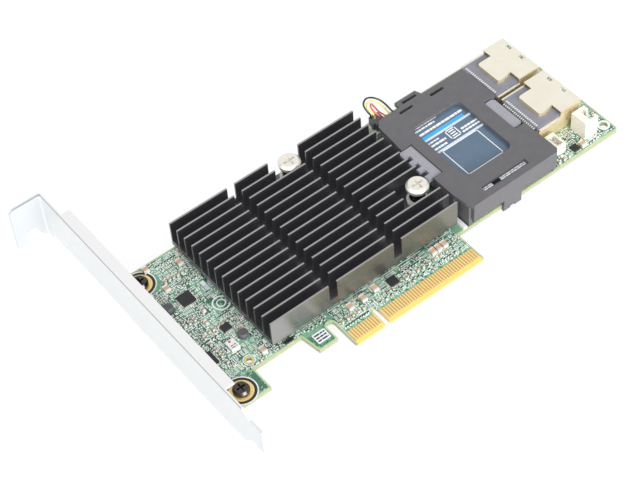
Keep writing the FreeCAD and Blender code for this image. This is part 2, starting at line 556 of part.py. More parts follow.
# Rows of small parts: first x and y, run in x, run in y, pitch
CAP_ROWS = (
    (-55.2, 19, 0.0, 18.0, 3.0), (-47.2, 20.6, 0.0, 11.6, 2.9), (-44.8, 33.5, 8.5, 0.0, 1.7),
    (-55, 40.2, 9.5, 0.0, 1.9), (-54.8, 44.8, 3.8, 0.0, 1.9), (-43.8, 58.6, 8.0, 0.0, 1.6),
    (-10.8, 9.6, 8.4, 0.0, 2.1), (15.2, 10, 16.8, 0.0, 2.4), (SAS_HX0 - 0.2, 14.4, 4.4, 0.0, 2.2),
    (SAS_HX1 - 2.9, 19, 0.0, 3.8, 1.9), (BOARD_X1 - 3.9, 24, 0.0, 7.2, 2.4),
)
RES_ROWS = (
    (-50.4, 30.8, 7.8, 0.0, 1.3), (-50.4, 35.6, 0.0, 3.6, 1.2), (-38.4, 36.2, 3.3, 0.0, 1.1),
    (-39.8, 54.2, 4.8, 0.0, 1.2), (-54, 51.2, 3.6, 0.0, 1.2), (-52.4, 66.6, 2.4, 0.0, 1.2),
    (-42.4, 65.6, 7.2, 0.0, 1.2), (-20.9, 14.1, 6.4, 0.0, 1.6), (-10.6, 7.4, 8.4, 0.0, 1.05),
    (3.4, 8, 33.0, 0.0, 2.2), (16.2, 12.6, 6.5, 0.0, 1.3), (SAS_HX1 + 2.3, 14.2, 3.9, 0.0, 1.3),
)


def in_rows(rows, lx, ly, h):
    chips = []
    for x, y, dx, dy, pitch in rows:
        steps = round((dx + dy) / pitch)
        chips += [chip_at(x + dx * k / steps, y + dy * k / steps, lx, ly, h) for k in range(steps + 1)]
    return group(chips)


def small_capacitors():
    return in_rows(CAP_ROWS, 0.8, 1.6, 0.75)


def small_resistors():
    return in_rows(RES_ROWS, 0.6, 1.1, 0.38)


def back_parts():
    parts = []
    for x, y, n, dx in ((-18.0, 53.6, 10, 5.0), (-18.0, 34.6, 9, 5.0), (60.0, 30.0, 4, 5.0)):
        parts += [box(x + dx * k, y, -0.85, x + dx * k + 1.6, y + 0.8, 0) for k in range(n)]
    return group(parts)


def controller_chip():
    return flat_chip(-45.00, 46.30, -40.20, 50.90, 0.90)


def spacer_strip():
    return box(42.30, 13.10, T, 43.80, 18.40, T + 0.90)


parts = {
    "pcb": pcb(),
    "edge_contacts": edge_contacts(),
    "slot_bracket": bracket(),
    "bracket_screws": bracket_screws(),
    "heatsink": heatsink(),
    "heatsink_washers": heatsink_washers(),
    "heatsink_springs": heatsink_springs(),
    "heatsink_screws": heatsink_screws(),
    "heatsink_nuts": heatsink_nuts(),
    "raid_processor": raid_processor(),
    "thermal_pad": thermal_pad(),
    "battery_carrier": battery_carrier(),
    "battery_tray": battery_tray(),
    "battery_pack": battery_pack(),
    "battery_label": battery_label(),
    "data_label": data_label(),
    "battery_header": battery_header(),
    "battery_plug": battery_plug(),
    "large_header": large_header(),
    "large_header_pins": large_header_pins(),
    "small_header": small_header(),
    "small_header_pins": small_header_pins(),
    "controller_chip": controller_chip(),
    "small_chips": small_chips(),
    "memory_chips": memory_chips(),
    "inductors": inductors(),
    "oscillator": oscillator(),
    "tan_capacitors": tan_capacitors(),
    "small_capacitors": small_capacitors(),
    "small_resistors": small_resistors(),
    "back_parts": back_parts(),
    "spacer_strip": spacer_strip(),
}
for name, points in WIRE_ROUTES.items():
    parts[name] = cord(name, points, WIRE_R)
for tag, y in zip(("a", "b"), SAS_YS):
    parts["sas_housing_" + tag] = sas_housing(y)
    parts["sas_cage_" + tag] = sas_cage(y)
    parts["sas_contacts_" + tag] = sas_contacts(y)

os.makedirs("parts", exist_ok=True)
for name, shape in parts.items():
    shape.exportStep("parts/" + name + ".step")
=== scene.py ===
import json
import math
import random

import bmesh
import bpy
from mathutils import Matrix, Vector


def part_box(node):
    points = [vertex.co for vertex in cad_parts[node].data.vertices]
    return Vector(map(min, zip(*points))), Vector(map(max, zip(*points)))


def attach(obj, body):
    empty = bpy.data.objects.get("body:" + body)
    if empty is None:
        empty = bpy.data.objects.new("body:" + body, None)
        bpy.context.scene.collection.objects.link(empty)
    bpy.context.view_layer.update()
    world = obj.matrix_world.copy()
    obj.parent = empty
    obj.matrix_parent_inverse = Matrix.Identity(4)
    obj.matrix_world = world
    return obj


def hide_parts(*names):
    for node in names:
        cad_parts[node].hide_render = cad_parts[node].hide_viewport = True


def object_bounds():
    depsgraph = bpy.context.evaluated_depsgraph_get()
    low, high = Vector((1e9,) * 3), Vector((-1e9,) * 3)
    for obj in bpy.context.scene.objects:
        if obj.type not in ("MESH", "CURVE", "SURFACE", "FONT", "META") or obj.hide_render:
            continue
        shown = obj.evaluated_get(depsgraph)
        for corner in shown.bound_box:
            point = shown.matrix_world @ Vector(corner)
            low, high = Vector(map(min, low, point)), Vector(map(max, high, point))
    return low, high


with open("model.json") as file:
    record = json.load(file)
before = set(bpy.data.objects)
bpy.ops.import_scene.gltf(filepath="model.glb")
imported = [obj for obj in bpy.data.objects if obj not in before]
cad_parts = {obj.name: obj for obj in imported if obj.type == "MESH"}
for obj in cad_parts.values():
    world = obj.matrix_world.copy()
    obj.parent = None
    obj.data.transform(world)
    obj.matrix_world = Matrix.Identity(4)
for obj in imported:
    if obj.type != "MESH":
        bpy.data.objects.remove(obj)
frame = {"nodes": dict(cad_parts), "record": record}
card_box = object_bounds()
MM = 0.001
chance = random.Random(36)

# Places and sizes below are in mm. TOP is the board's component side, INK the height of print on it.
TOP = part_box("pcb")[1].z / MM
INK = 0.03
# The field that the edge contacts cover
EDGE_X0, PAD_Y = [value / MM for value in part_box("edge_contacts")[0][:2]]
EDGE_X1, EDGE_Y = [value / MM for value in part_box("edge_contacts")[1][:2]]
# How far the boundary between two sides is from a face's own height
NEAR_FACE = 0.3

# Marks and holes on the component side: middles, and boxes as x0, y0, x1, y1
TOOLING_HOLE = (-41.5, 16.9)
CORNER_HOLE = (107.9, 17.0)
RING_MARK = (-34.9, 40.4)
TAB_LABEL = (-21.4, 7.6, -16.6, 11.6)
BLUE_FIELD = (-35.4, 47.4, -33.9, 49.4)
WHITE_FIELD = (-35.4, 49.5, -33.9, 51.6)
EDGE_LINES = ((-12.0, 15.50, 26.0, 15.75), (28.0, 15.50, 39.0, 15.75))

# Ground that the small parts keep off: half a side round each bracket screw, and boxes
SCREW_CLEARING = 5.6
CLEARINGS = (
    (-43.6, 14.8, -39.4, 19.0),  # tooling hole
    (105.6, 14.6, 110.2, 19.3),  # corner hole
    (-38.1, 37.2, -31.7, 43.6),  # ring mark
    (-22.0, 7.0, -16.0, 12.2),   # tab label
    (-12.0, 15.4, 39.0, 15.85),  # edge lines
    (-35.5, 47.3, -33.8, 51.7),  # printed fields
)


# ---- Shader expressions ----

class Amount:
    """A number that changes over a surface. Its operators add Math nodes to its finish."""

    def __init__(self, finish, socket):
        self.finish, self.socket = finish, socket

    def __add__(self, other):
        return self.finish.math("ADD", self, other)

    def __mul__(self, other):
        return self.finish.math("MULTIPLY", self, other)

    def __gt__(self, other):
        return self.finish.math("GREATER_THAN", self, other)

    def __lt__(self, other):
        return self.finish.math("LESS_THAN", self, other)


class Finish:
    """A material: a Principled shader with fixed values, and fields that read Object coordinates in mm."""

    def __init__(self, name, color, roughness, metallic=0.0, **fixed):
        self.material = bpy.data.materials.new(name)
        self.material.use_nodes = True
        self.tree = self.material.node_tree
        self.shader = self.tree.nodes["Principled BSDF"]
        self.set("Base Color", (*color, 1))
        self.set("Roughness", roughness)
        self.set("Metallic", metallic)
        for socket, value in fixed.items():
            self.set(socket.replace("_", " "), value)
        self.mm = None

    def set(self, socket, value):
        self.fill(self.shader.inputs[socket], value)

    def fill(self, target, value):
        """Link a socket to an amount, or give it a fixed value."""
        if isinstance(value, Amount):
            self.tree.links.new(value.socket, target)
        else:
            target.default_value = value

    def node(self, kind, settings, inputs, output=0):
        """Any node: its type, its settings, then the values or links of its sockets."""
        made = self.tree.nodes.new(kind)
        for key, value in settings.items():
            setattr(made, key, value)
        for key, value in inputs.items():
            self.fill(made.inputs[key], value)
        return Amount(self, made.outputs[output])

    def math(self, operation, a, b=0.0):
        return self.node("ShaderNodeMath", {"operation": operation}, {0: a, 1: b})

    def both(self, a, b):
        return self.math("MULTIPLY", a, b)

    def either(self, a, b):
        return self.math("MAXIMUM", a, b)

    def place(self):
        """Object coordinates in mm, as one vector."""
        if self.mm is None:
            spot = self.node("ShaderNodeTexCoord", {}, {}, "Object")
            self.mm = self.node("ShaderNodeVectorMath", {"operation": "SCALE"}, {0: spot, "Scale": 1000})
        return self.mm

    def axes(self):
        """The place's x, y and z in mm, each as an amount."""
        place = self.place()
        return [self.node("ShaderNodeSeparateXYZ", {}, {0: place}, axis) for axis in "XYZ"]

    def stretched(self, x, y, z):
        """The place with each axis scaled, so that a pattern runs long where its factor is small."""
        return self.node("ShaderNodeVectorMath", {"operation": "MULTIPLY"}, {0: self.place(), 1: (x, y, z)})

    def noise(self, scale, detail, vector=None):
        return self.node("ShaderNodeTexNoise", {},
                         {"Vector": vector or self.place(), "Scale": scale, "Detail": detail}, "Fac")

    def cells(self, scale, vector=None):
        """How far a spot is from the middle of its cell."""
        return self.node("ShaderNodeTexVoronoi", {"feature": "F1"},
                         {"Vector": vector or self.place(), "Scale": scale}, "Distance")

    def ramp(self, value, low, high, start=0.0, end=1.0):
        """start where the value is low, end where it is high, and in between between them."""
        return self.node("ShaderNodeMapRange", {},
                         {0: value, 1: low, 2: high, 3: start, 4: end})

    def blend(self, mask, color, other):
        """other where mask is 1, color where it is 0; both are colours."""
        a, b = [c if isinstance(c, Amount) else (*c, 1) for c in (color, other)]
        return self.node("ShaderNodeMix", {"data_type": "RGBA"}, {0: mask, 6: a, 7: b}, 2)

    def bump(self, height, strength, depth_mm):
        self.set("Normal", self.node("ShaderNodeBump", {},
                                     {"Height": height, "Strength": strength, "Distance": depth_mm * MM}))


def moulded(name, color, roughness, grain=0.02, **fixed):
    """A moulded plastic: fine grain, faint unevenness of colour and gloss."""
    finish = Finish(name, color, roughness, **fixed)
    cloud = finish.noise(0.35, 4)
    lighter = tuple(min(1, 1.16 * c + 0.004) for c in color)
    darker = tuple(0.88 * c for c in color)
    finish.set("Base Color", finish.blend(cloud, darker, lighter))
    finish.set("Roughness", finish.ramp(finish.noise(1.3, 3), 0.3, 0.7, roughness - 0.05, roughness + 0.06))
    finish.bump(finish.noise(9, 2), 0.5, grain)
    return finish


def plated(name, color, roughness, spread=0.08, depth=0.004):
    """A plated or bare metal: soft cloudiness and fine lines."""
    finish = Finish(name, color, roughness, 1.0)
    cloud = finish.noise(0.6, 4)
    lines = finish.noise(4, 4)
    darker = tuple(0.86 * c for c in color)
    finish.set("Base Color", finish.blend(cloud, darker, color))
    finish.set("Roughness", finish.ramp(lines, 0.3, 0.7, roughness - spread, roughness + spread))
    finish.bump(lines, 0.4, depth)
    return finish


def coated(name, color, roughness, metallic):
    """A thin bright plating: part mirror, part pale body colour, almost even."""
    finish = Finish(name, color, roughness, metallic)
    finish.set("Base Color", finish.blend(finish.noise(0.3, 3), tuple(0.94 * c for c in color), color))
    finish.set("Roughness", finish.ramp(finish.noise(1.5, 3), 0.3, 0.7, roughness - 0.04, roughness + 0.04))
    return finish


# ---- Finishes of the card's own materials ----

def board_mask():
    """Green solder mask with copper showing through, bare laminate on the sides, gold at the contacts."""
    finish = Finish("board_mask", (0.02, 0.09, 0.04), 0.34, Coat_Weight=0.3, Coat_Roughness=0.2)
    x, y, z = finish.axes()
    front, rear = z > TOP - NEAR_FACE, z < TOP - NEAR_FACE
    # Broad copper fields under the mask, on the component side
    pour = finish.both(finish.noise(0.22, 1) > 0.5, front)
    green = finish.blend(pour, (0.055, 0.18, 0.105), (0.19, 0.41, 0.27))
    # Short lanes along each axis, palest between the bracket and the heatsink
    lanes = finish.cells(1.05, finish.stretched(1, 2.6, 1)) < 0.32
    by_bracket = finish.both(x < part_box("heatsink")[0].x / MM + 3.6, front)
    pale = finish.blend(by_bracket, (0.30, 0.52, 0.37), (0.72, 0.84, 0.74))
    green = finish.blend(finish.both(lanes, finish.noise(0.4, 2) > 0.46), green, pale)
    lanes = finish.cells(1.15, finish.stretched(2.8, 1, 1)) < 0.30
    green = finish.blend(finish.both(lanes, finish.noise(0.33, 2) > 0.54), green, (0.012, 0.060, 0.030))
    vias = finish.both(finish.cells(0.5) < 0.11, rear)
    green = finish.blend(vias, green, (0.50, 0.55, 0.46))
    # Slanted tracks, 2 mm apart along x, that leave the contacts and end at track_end
    track_end = 9.4
    slant = finish.math("FRACT", (x + y * 0.6) * 0.5) > 0.45
    beside = finish.both(x > EDGE_X0, x < EDGE_X1)
    tracks = finish.both(finish.both(slant, y < track_end), beside)
    green = finish.blend(tracks, green, (0.24, 0.47, 0.30))
    skin, margin = 0.02, 0.2
    face = finish.either(z > TOP - skin, z < skin)
    laminate = finish.blend(face, (0.37, 0.40, 0.22), green)
    contact = finish.both(finish.both(y < EDGE_Y, x > EDGE_X0 - margin), x < EDGE_X1 + margin)
    gaps = finish.both(finish.both(contact, face), y > PAD_Y)
    laminate = finish.blend(contact, laminate, (0.86, 0.56, 0.16))
    finish.set("Base Color", finish.blend(gaps, laminate, (0.40, 0.22, 0.06)))
    finish.set("Roughness", finish.ramp(finish.noise(2.5, 3), 0.3, 0.7, 0.30, 0.42))
    finish.bump(finish.either(pour, lanes), 0.35, 0.03)
    return finish


def bracket_plating():
    """Bright nickel, with painted shade on the bent tab, a painted highlight along the flange, and a dark
    line of painted shade where the sheet turns.
    """
    finish = Finish("bracket_nickel", (0.79, 0.81, 0.82), 0.36, 0.55)
    x, y, z = finish.axes()
    mounts = {mount["name"]: mount["pos_m"] for mount in frame["record"]["mounts"]}
    plate = mounts["bracket_face"][0] / MM
    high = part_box("slot_bracket")[1] / MM
    cloud = finish.noise(0.3, 3)
    nickel = finish.blend(cloud, (0.79, 0.805, 0.81), (0.84, 0.855, 0.86))
    # Painted shade: the bent tab is darker.
    tab = y > high.y - 1.0
    nickel = finish.blend(tab, nickel, (0.69, 0.72, 0.735))
    # Painted highlight: the flange is lighter.
    flange = finish.both(z > high.z - 0.9, x > plate + 0.25)
    nickel = finish.blend(flange, nickel, (0.90, 0.895, 0.885))
    # Painted shade: a dark line along the bend where the sheet turns.
    bend_painted_shade = finish.both(z > high.z - 0.2, finish.both(x < plate + 0.22, y < high.y - 0.61))
    finish.set("Base Color", finish.blend(bend_painted_shade, nickel, (0.40, 0.41, 0.42)))
    finish.set("Roughness", finish.ramp(finish.noise(1.5, 3), 0.3, 0.7, 0.32, 0.40))
    return finish


def cage_sheet():
    """Tinned sheet: cream on its upper faces, with a painted brown-gold reflection and shade down its walls.
    """
    finish = Finish("cage_tin", (0.90, 0.85, 0.72), 0.34, 0.55)
    z = finish.axes()[2]
    top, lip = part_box("sas_cage_a")[1].z / MM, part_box("sas_housing_a")[1].z / MM
    below_lip, above_lip = z < lip - 0.83, z > lip - 0.47
    painted_wall_mask = finish.both(z < top - 0.03, finish.either(below_lip, above_lip))
    cloud = finish.noise(0.25, 3)
    cream = finish.blend(cloud, (0.86, 0.79, 0.64), (0.95, 0.91, 0.80))
    # Painted warm reflection and shade for the walls.
    brown = finish.blend(cloud, (0.62, 0.49, 0.28), (0.92, 0.79, 0.54))
    finish.set("Base Color", finish.blend(painted_wall_mask, cream, brown))
    finish.set("Roughness", finish.ramp(finish.noise(1.2, 3), 0.3, 0.7, 0.30, 0.38))
    finish.bump(finish.noise(0.5, 2), 0.3, 0.05)
    return finish


def anodised():
    """Black, with a painted reflection on the front fin's outer face, a faint painted glow over all of it,
    and bare along the sawn fin tops.
    """
    # The emission is a faint painted glow that lifts the black; the heatsink is no lamp.
    finish = Finish("black_anodised", (0.16, 0.145, 0.13), 0.30, 0.92,
                    Emission_Color=(0.011, 0.0105, 0.012, 1), Emission_Strength=1.0)
    x, y, z = finish.axes()
    low, high = [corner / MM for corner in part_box("heatsink")]
    cut = z > high.z - 0.06
    streaks = finish.noise(3, 4, finish.stretched(0.05, 1, 1))
    black = finish.blend(streaks, (0.105, 0.102, 0.108), (0.155, 0.150, 0.155))
    # Painted reflection of the bright floor on the front fin's outer face: grey towards the left end, bronze
    # towards the right.
    painted_sheen = finish.blend(finish.ramp(x, low.x + 4, low.x + 26), (0.36, 0.355, 0.35), (0.24, 0.225, 0.195))
    bare = finish.blend(streaks, (0.34, 0.34, 0.34), (0.47, 0.46, 0.46))
    outer = finish.blend(y < low.y + 0.05, black, painted_sheen)
    finish.set("Base Color", finish.blend(cut, outer, bare))
    finish.set("Roughness", finish.ramp(streaks, 0.3, 0.7, 0.26, 0.34))
    finish.bump(streaks, 0.3, 0.01)
    return finish


def wound_wire(name, color):
    """A wire's soft sleeve."""
    finish = Finish(name, color, 0.42)
    finish.set("Base Color", finish.blend(finish.noise(1.5, 2), tuple(0.85 * c for c in color), color))
    finish.bump(finish.noise(6, 2), 0.3, 0.01)
    return finish


FINISHES = {
    "board_mask": board_mask(),
    "gold": coated("gold_plate", (1.0, 0.73, 0.30), 0.30, 0.45),
    "nickel": bracket_plating(),
    "dark_screw": plated("dark_screw", (0.10, 0.088, 0.085), 0.16, 0.05, 0.03),
    "anodised": anodised(),
    "washer": moulded("washer_nylon", (0.97, 0.94, 0.84), 0.42),
    "spring": plated("spring_wire", (0.045, 0.045, 0.048), 0.35),
    "bright_screw": coated("bright_screw", (0.90, 0.865, 0.79), 0.30, 0.6),
    "resin": moulded("chip_resin", (0.018, 0.018, 0.021), 0.48, 0.01),
    "pad": moulded("thermal_pad_grey", (0.40, 0.41, 0.43), 0.7),
    "carrier": moulded("carrier_plastic", (0.122, 0.117, 0.124), 0.46, 0.02),
    "tray": moulded("tray_plastic", (0.345, 0.34, 0.38), 0.40, 0.02),
    "pack": moulded("pack_film", (0.05, 0.075, 0.14), 0.22, 0.01, Coat_Weight=0.4),
    "film": moulded("label_film", (0.092, 0.150, 0.225), 0.18, 0.004, Coat_Weight=0.6),
    "paper": moulded("paper_label", (0.86, 0.87, 0.88), 0.55, 0.005),
    "nylon": moulded("header_nylon", (0.95, 0.89, 0.76), 0.42, 0.01),
    "plug": moulded("plug_plastic", (0.12, 0.12, 0.13), 0.4, 0.01),
    "tin": coated("tin_plate", (0.95, 0.95, 0.91), 0.36, 0.35),
    "cage": cage_sheet(),
    "socket": moulded("socket_plastic", (0.25, 0.248, 0.29), 0.40, 0.01),
    "ferrite": moulded("ferrite", (0.10, 0.10, 0.11), 0.5),
    "ceramic": moulded("ceramic_white", (0.86, 0.86, 0.84), 0.3),
    "tan": moulded("tantalum_tan", (0.62, 0.42, 0.28), 0.42),
    "brown": moulded("capacitor_brown", (0.46, 0.34, 0.22), 0.4),
    "black_glaze": moulded("resistor_black", (0.02, 0.02, 0.022), 0.25, 0.005),
    # Ink that glows: painted light on the slim label's rows, which lie in shade under the carrier's roof.
    "glowing_ink": moulded("slim_label_glowing_ink", (0.93, 0.94, 0.96), 0.4, 0.002,
                       Emission_Color=(0.9, 0.93, 1.0, 1), Emission_Strength=0.4),
    "legend": moulded("legend_ink", (0.99, 1.0, 0.97), 0.5, 0.002),
    "pale_mask": moulded("bare_laminate", (0.50, 0.60, 0.36), 0.4, 0.004),
    "dark_print": moulded("dark_print", (0.035, 0.050, 0.075), 0.3, 0.002),
    "blue_ink": moulded("blue_ink", (0.05, 0.42, 0.80), 0.3, 0.002),
    "pale_blue_ink": moulded("pale_blue_ink", (0.66, 0.72, 0.82), 0.3, 0.002),
    "red_ink": moulded("red_ink", (0.70, 0.05, 0.04), 0.4, 0.002),
    "wire_black": wound_wire("wire_black", (0.02, 0.02, 0.02)),
    "wire_yellow": wound_wire("wire_yellow", (0.86, 0.78, 0.22)),
    "wire_red": wound_wire("wire_red", (0.88, 0.17, 0.12)),
}

NODE_FINISHES = {
    "pcb": "board_mask", "edge_contacts": "gold", "slot_bracket": "nickel", "bracket_screws": "dark_screw",
    "heatsink": "anodised", "heatsink_washers": "washer", "heatsink_springs": "spring",
    "heatsink_screws": "bright_screw", "heatsink_nuts": "bright_screw", "raid_processor": "resin",
    "thermal_pad": "pad", "battery_carrier": "carrier", "battery_tray": "tray", "battery_pack": "pack",
    "battery_label": "film", "data_label": "paper", "battery_header": "nylon", "battery_plug": "plug",
    "large_header": "nylon", "large_header_pins": "tin", "small_header": "nylon", "small_header_pins": "tin",
    "controller_chip": "resin", "small_chips": "resin", "memory_chips": "resin", "inductors": "ferrite",
    "oscillator": "ceramic", "tan_capacitors": "tan", "small_capacitors": "brown",
    "small_resistors": "black_glaze", "back_parts": "brown", "spacer_strip": "paper",
    "battery_wire_black": "wire_black", "battery_wire_yellow": "wire_yellow", "battery_wire_red": "wire_red",
    "sas_housing_a": "socket", "sas_housing_b": "socket", "sas_cage_a": "cage", "sas_cage_b": "cage",
    "sas_contacts_a": "tin", "sas_contacts_b": "tin",
}


def dress_nodes():
    """Give the CAD nodes their finishes."""
    for name, finish in NODE_FINISHES.items():
        for slot in frame["nodes"][name].material_slots:
            slot.material = FINISHES[finish].material


# ---- Pieces ----

# The distance, in metres, within which a node's corners are joined
WELD = 1e-6


def slab(bm, x0, y0, z0, x1, y1, z1):
    """A box between two corners in mm."""
    middle = Vector((x0 + x1, y0 + y1, z0 + z1)) * MM / 2
    size = Vector((x1 - x0, y1 - y0, z1 - z0)) * MM
    bmesh.ops.create_cube(bm, size=1, matrix=Matrix.Translation(middle) @ Matrix.Diagonal((*size, 1)))


def disc(bm, x, y, z0, z1, radius, sides=20):
    """An upright cylinder between two heights in mm."""
    matrix = Matrix.Translation(Vector((x, y, (z0 + z1) / 2)) * MM)
    bmesh.ops.create_cone(bm, cap_ends=True, segments=sides, radius1=radius * MM, radius2=radius * MM,
                          depth=(z1 - z0) * MM, matrix=matrix)


def ring(bm, x, y, z0, z1, inner, outer, sides=40):
    """A flat ring, spun from its own section."""
    corners = [bm.verts.new(Vector((x + r, y, z)) * MM)
               for r, z in ((inner, z0), (outer, z0), (outer, z1), (inner, z1))]
    face = bm.faces.new(corners)
    bmesh.ops.spin(bm, geom=[face] + list(face.edges) + corners, cent=Vector((x, y, 0)) * MM,
                   axis=(0, 0, 1), angle=math.tau, steps=sides, use_merge=True)
    if face.is_valid:
        bm.faces.remove(face)


def piece(name, bm, finish, replaces=()):
    """A gathered mesh as a piece of the card: its finish, and the nodes it replaces."""
    bmesh.ops.recalc_face_normals(bm, faces=bm.faces)
    mesh = bpy.data.meshes.new(name)
    bm.to_mesh(mesh)
    bm.free()
    made = bpy.data.objects.new(name, mesh)
    bpy.context.scene.collection.objects.link(made)
    mesh.materials.append(FINISHES[finish].material)
    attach(made, "root")
    if replaces:
        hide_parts(*replaces)


def islands(name):
    """The lowest and highest corners, in mm, of each separate solid of a CAD node, sorted by place."""
    bm = bmesh.new()
    bm.from_mesh(frame["nodes"][name].data)
    bmesh.ops.remove_doubles(bm, verts=bm.verts, dist=WELD)
    left, boxes = set(bm.verts), []
    while left:
        stack, found = [left.pop()], []
        while stack:
            vert = stack.pop()
            found.append(vert.co / MM)
            for edge in vert.link_edges:
                other = edge.other_vert(vert)
                if other in left:
                    left.remove(other)
                    stack.append(other)
        boxes.append([pick(v[axis] for v in found) for pick in (min, max) for axis in range(3)])
    bm.free()
    return sorted(boxes)


def chip_parts(node, body, ends):
    """Small two-ended parts: a body between two tinned ends, in place of a CAD node's plain blocks."""
    bodies, caps = bmesh.new(), bmesh.new()
    narrower, lower = 0.02, 0.03
    for x0, y0, z0, x1, y1, z1 in islands(node):
        end = 0.22 * max(x1 - x0, y1 - y0)
        if y1 - y0 > x1 - x0:
            slab(bodies, x0 + narrower, y0 + end, z0, x1 - narrower, y1 - end, z1 - lower)
            slab(caps, x0, y0, z0, x1, y0 + end, z1)
            slab(caps, x0, y1 - end, z0, x1, y1, z1)
        else:
            slab(bodies, x0 + end, y0 + narrower, z0, x1 - end, y1 - narrower, z1 - lower)
            slab(caps, x0, y0, z0, x0 + end, y1, z1)
            slab(caps, x1 - end, y0, z0, x1, y1, z1)
    piece(node + "_bodies", bodies, body, (node,))
    piece(node + "_ends", caps, ends)


def footprints():
    """Boxes on the component side that carry something larger, as x0, y0, x1, y1."""
    spots = []
    for node in ("controller_chip", "small_chips", "inductors", "oscillator", "tan_capacitors",
                 "small_capacitors", "small_resistors", "spacer_strip", "large_header", "small_header",
                 "sas_housing_a", "sas_housing_b", "sas_cage_a", "sas_cage_b", "bracket_screws",
                 "battery_header"):
        spots += [(x0, y0, x1, y1) for x0, y0, z0, x1, y1, z1 in islands(node) if z1 > TOP]
    for x0, y0, z0, x1, y1, z1 in islands("bracket_screws"):
        x, y = (x0 + x1) / 2, (y0 + y1) / 2
        spots.append((x - SCREW_CLEARING, y - SCREW_CLEARING, x + SCREW_CLEARING, y + SCREW_CLEARING))
    return spots + list(CLEARINGS)


def free(spots, x0, y0, x1, y1, gap):
    """Whether a box keeps its gap from every box in spots."""
    return all(x1 + gap < a or x0 - gap > c or y1 + gap < b or y0 - gap > d for a, b, c, d in spots)


# Regions of the component side that the small parts fill
FIELDS = (
    (-56.6, 13.9, -30.4, 68.2), (-30.4, 13.9, -13.0, 18.0), (-12.2, 6.4, 39.2, 18.0),
    (83.4, 13.6, 109.8, 25.0), (105.0, 25.0, 109.8, 68.2),
)


class Stock:
    """The board's small parts, gathered by finish, with the ground that they already take."""

    def __init__(self, spots):
        self.spots = spots
        self.sets = {kind: bmesh.new() for kind in
                     ("brown", "black_glaze", "resin", "tan", "tin", "legend", "holes")}

    def claim(self, x, y, lx, ly, gap):
        """Take a box of ground if it's free."""
        if not free(self.spots, x, y, x + lx, y + ly, gap):
            return False
        self.spots.append((x, y, x + lx, y + ly))
        return True

    def bar(self, kind, turned, x, y, lx, ly, high, x0=0.0, y0=0.0):
        """A block whose place is given in its group's own frame, turned a quarter where asked."""
        if turned:
            x, y, lx, ly = y, x, ly, lx
        slab(self.sets[kind], x0 + x, y0 + y, TOP, x0 + x + lx, y0 + y + ly, TOP + high)

    def outline(self, turned, lx, ly, x0, y0, wide=0.16):
        """A printed frame."""
        for x, y, w, h in ((0, 0, lx, wide), (0, ly - wide, lx, wide),
                           (0, 0, wide, ly), (lx - wide, 0, wide, ly)):
            self.bar("legend", turned, x, y, w, h, INK, x0, y0)

    def two_ended(self, kind, turned, x, y, long, wide, high, x0, y0):
        """A body between two tinned ends."""
        end = 0.27 * long
        self.bar(kind, turned, x + end, y + 0.02, long - 2 * end, wide - 0.04, high - 0.02, x0, y0)
        self.bar("tin", turned, x, y, end, wide, high, x0, y0)
        self.bar("tin", turned, x + long - end, y, end, wide, high, x0, y0)


# How far apart the members of a group are
BANK_PITCH, PAD_PITCH, LEG_PITCH, DASH_PITCH = 0.85, 0.55, 0.65, 0.6


def bank(stock, turned, x0, y0, count):
    """Two-ended parts side by side inside a printed outline."""
    kind = chance.choice(("black_glaze", "brown", "tan"))
    for k in range(count):
        stock.two_ended(kind, turned, 0.35, 0.35 + BANK_PITCH * k, 1.1, 0.5, 0.4, x0, y0)
    stock.outline(turned, 1.8, BANK_PITCH * count + 0.35, x0, y0)


def pads(stock, turned, x0, y0, count):
    """An empty footprint: two rows of tinned pads."""
    for k in range(count):
        for row in (0.1, 1.5):
            stock.bar("tin", turned, row, 0.15 + PAD_PITCH * k, 1.0, 0.32, 0.02, x0, y0)


def driver(stock, turned, x0, y0, count):
    """A small moulded chip with a row of leads on either side."""
    long = LEG_PITCH * count + 0.3
    stock.bar("resin", turned, 0.7, 0, 1.7, long, 0.8, x0, y0)
    for k in range(count):
        stock.bar("tin", turned, 0, 0.25 + LEG_PITCH * k, 3.1, 0.26, 0.16, x0, y0)
    stock.outline(turned, 3.1, long, x0, y0, 0.12)


def printed_rows(stock, turned, x0, y0, count):
    """Rows of short printed dashes."""
    for row in range(2):
        at = 0.1
        while at < DASH_PITCH * count:
            dash = chance.choice((0.25, 0.4, 0.6))
            stock.bar("legend", turned, 0.1 + 0.75 * row, at, 0.45, dash, INK, x0, y0)
            at += dash + 0.18


def fat_part(stock, turned, x0, y0, count):
    """One larger capacitor between wide tinned ends."""
    stock.two_ended(chance.choice(("brown", "tan")), turned, 0.2, 0.2, 1.9, 1.1, 0.9, x0, y0)
    stock.outline(turned, 2.3, 1.5, x0, y0)


# Each group's maker, how often it is picked, and the ground that n members take
GROUPS = (
    (bank, 6, lambda n: (1.8, BANK_PITCH * n + 0.35)),
    (pads, 8, lambda n: (2.6, PAD_PITCH * n + 0.1)),
    (driver, 0.6, lambda n: (3.1, LEG_PITCH * n + 0.3)),
    (printed_rows, 13, lambda n: (1.4, DASH_PITCH * n + 0.5)),
    (fat_part, 2, lambda n: (2.3, 1.5)),
)

# Tries in each square mm of a field
GROUP_TRIES, SINGLE_TRIES, MARK_TRIES, HOLE_TRIES = 1.3, 1.6, 9.0, 1.4
# The two-ended parts that stand alone: finish, long, wide, high
SINGLES = (("brown", 1.05, 0.55, 0.5), ("black_glaze", 1.0, 0.5, 0.35), ("tin", 0.9, 0.5, 0.12))
# The sides of printed marks, and the radii of through-holes
MARK_LONG, MARK_WIDE = (0.5, 0.8, 1.2, 1.8), (0.28, 0.36, 0.50)
HOLE_RADII = (0.16, 0.22)
# The grids that things are placed on
COARSE, FINE = 0.25, 0.05


def random_corner(field, lx, ly, step):
    """A random corner in a field for something of this size, on a grid."""
    x0, y0, x1, y1 = field
    return [round((low + chance.random() * max(0, high - low - size)) / step) * step
            for low, high, size in ((x0, x1, lx), (y0, y1, ly))]


